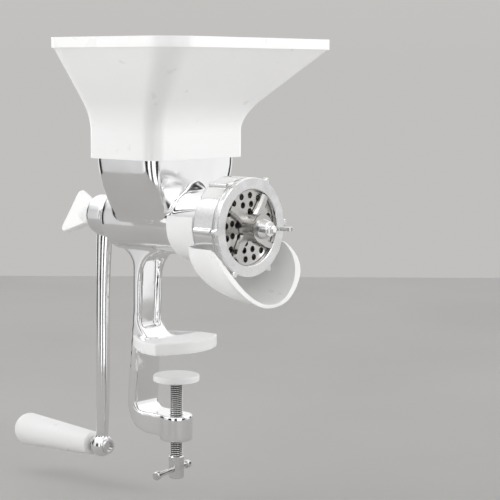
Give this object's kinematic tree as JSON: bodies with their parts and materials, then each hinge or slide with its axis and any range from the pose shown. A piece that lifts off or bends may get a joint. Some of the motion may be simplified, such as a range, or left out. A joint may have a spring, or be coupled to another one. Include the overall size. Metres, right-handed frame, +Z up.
{
  "type": "hand crank meat grinder",
  "caption": "Hand crank grinder with flared hopper, cast barrel, perforated plate with outside knife, drip scoop and table clamp.",
  "frame": {"origin": "on the clamp screw's axis, at the underside of the upper jaw pad, where the table's top meets it", "axes": "+Z up along the clamp screw, +X along the barrel towards the outlet, Y across the symmetric casting"},
  "size_m": [0.285, 0.182, 0.3337],
  "materials": {
    "cast_aluminium": "polished die casting",
    "satin_aluminium": "fine satin, machined ring nut",
    "white_plastic": "semi-gloss moulded plastic",
    "steel": "ground steel",
    "zinc_steel": "bright zinc plate",
    "bronze": "plain bearing bronze"
  },
  "bodies": {
    "casting": {"body_casting": "cast_aluminium", "upper_jaw_pad": "white_plastic", "rear_bush": "bronze", "plate_key_pin": "steel", "hole_plate": "steel", "plate_bush": "bronze"},
    "hopper": {"hopper": "white_plastic"},
    "chute": {"chute": "white_plastic"},
    "ring_nut": {"ring_nut": "satin_aluminium"},
    "drive": {"auger": "cast_aluminium", "thrust_washer": "steel", "crank_washer": "steel", "crank_arm": "cast_aluminium", "handle_bolt": "zinc_steel", "handle_lock_nut": "zinc_steel", "handle_washer": "zinc_steel", "knife": "steel"},
    "handle": {"crank_handle": "white_plastic"},
    "knife_washer": {"knife_washer": "steel"},
    "wing_nut": {"front_wing_nut": "zinc_steel"},
    "thumb_washer": {"thumb_washer": "zinc_steel"},
    "thumb_screw": {"thumb_screw_stud": "zinc_steel", "thumb_screw_wing": "white_plastic"},
    "clamp_pad": {"clamp_pad": "white_plastic", "clamp_swivel": "zinc_steel"},
    "clamp_screw": {"clamp_screw": "zinc_steel"},
    "tommy_bar": {"tommy_bar": "zinc_steel", "tommy_bar_caps": "zinc_steel"}
  },
  "joints": [
    {"name": "crank_spin", "type": "hinge", "parent": "casting", "child": "drive", "pos_m": [0, 0, 0.0975], "axis": [1, 0, 0], "continuous": true},
    {"name": "handle_spin", "type": "hinge", "parent": "drive", "child": "handle", "pos_m": [-0.13, 0, -0.0875], "axis": [1, 0, 0], "continuous": true},
    {"name": "hopper_lift", "type": "slide", "parent": "casting", "child": "hopper", "axis": [0, 0, 1], "range_m": [0, 0.06]},
    {"name": "chute_swivel", "type": "hinge", "parent": "casting", "child": "chute", "pos_m": [0.03, 0, 0.0975], "axis": [1, 0, 0], "range_deg": [-10, 10]},
    {"name": "ring_nut_turn", "type": "hinge", "parent": "casting", "child": "ring_nut", "pos_m": [0.064, 0, 0.0975], "axis": [1, 0, 0], "range_deg": [0, 90]},
    {"name": "wing_nut_travel", "type": "slide", "parent": "drive", "child": "knife_washer", "axis": [1, 0, 0], "range_m": [0, 0.008]},
    {"name": "wing_nut_turn", "type": "hinge", "parent": "knife_washer", "child": "wing_nut", "pos_m": [0.09, 0, 0.0975], "axis": [1, 0, 0], "range_deg": [0, 2881]},
    {"name": "thumb_screw_travel", "type": "slide", "parent": "drive", "child": "thumb_washer", "axis": [-1, 0, 0], "range_m": [0, 0.015]},
    {"name": "thumb_screw_turn", "type": "hinge", "parent": "thumb_washer", "child": "thumb_screw", "pos_m": [-0.09, 0, 0.0975], "axis": [-1, 0, 0], "range_deg": [0, 4321]},
    {"name": "clamp_travel", "type": "slide", "parent": "casting", "child": "clamp_pad", "axis": [0, 0, 1], "range_m": [-0.0225, 0.0112]},
    {"name": "clamp_screw_turn", "type": "hinge", "parent": "clamp_pad", "child": "clamp_screw", "pos_m": [0, 0, -0.06], "axis": [0, 0, 1], "range_deg": [-5401, 2689]},
    {"name": "tommy_bar_slide", "type": "slide", "parent": "clamp_screw", "child": "tommy_bar", "axis": [-0.2164, 0.9763, 0], "range_m": [-0.006, 0.018]}
  ],
  "couplings": [
    {"joint": "wing_nut_turn", "follows": "wing_nut_travel", "rad_per_m": 6283.2},
    {"joint": "thumb_screw_turn", "follows": "thumb_screw_travel", "rad_per_m": 5026.5},
    {"joint": "clamp_screw_turn", "follows": "clamp_travel", "rad_per_m": 4188.8}
  ]
}
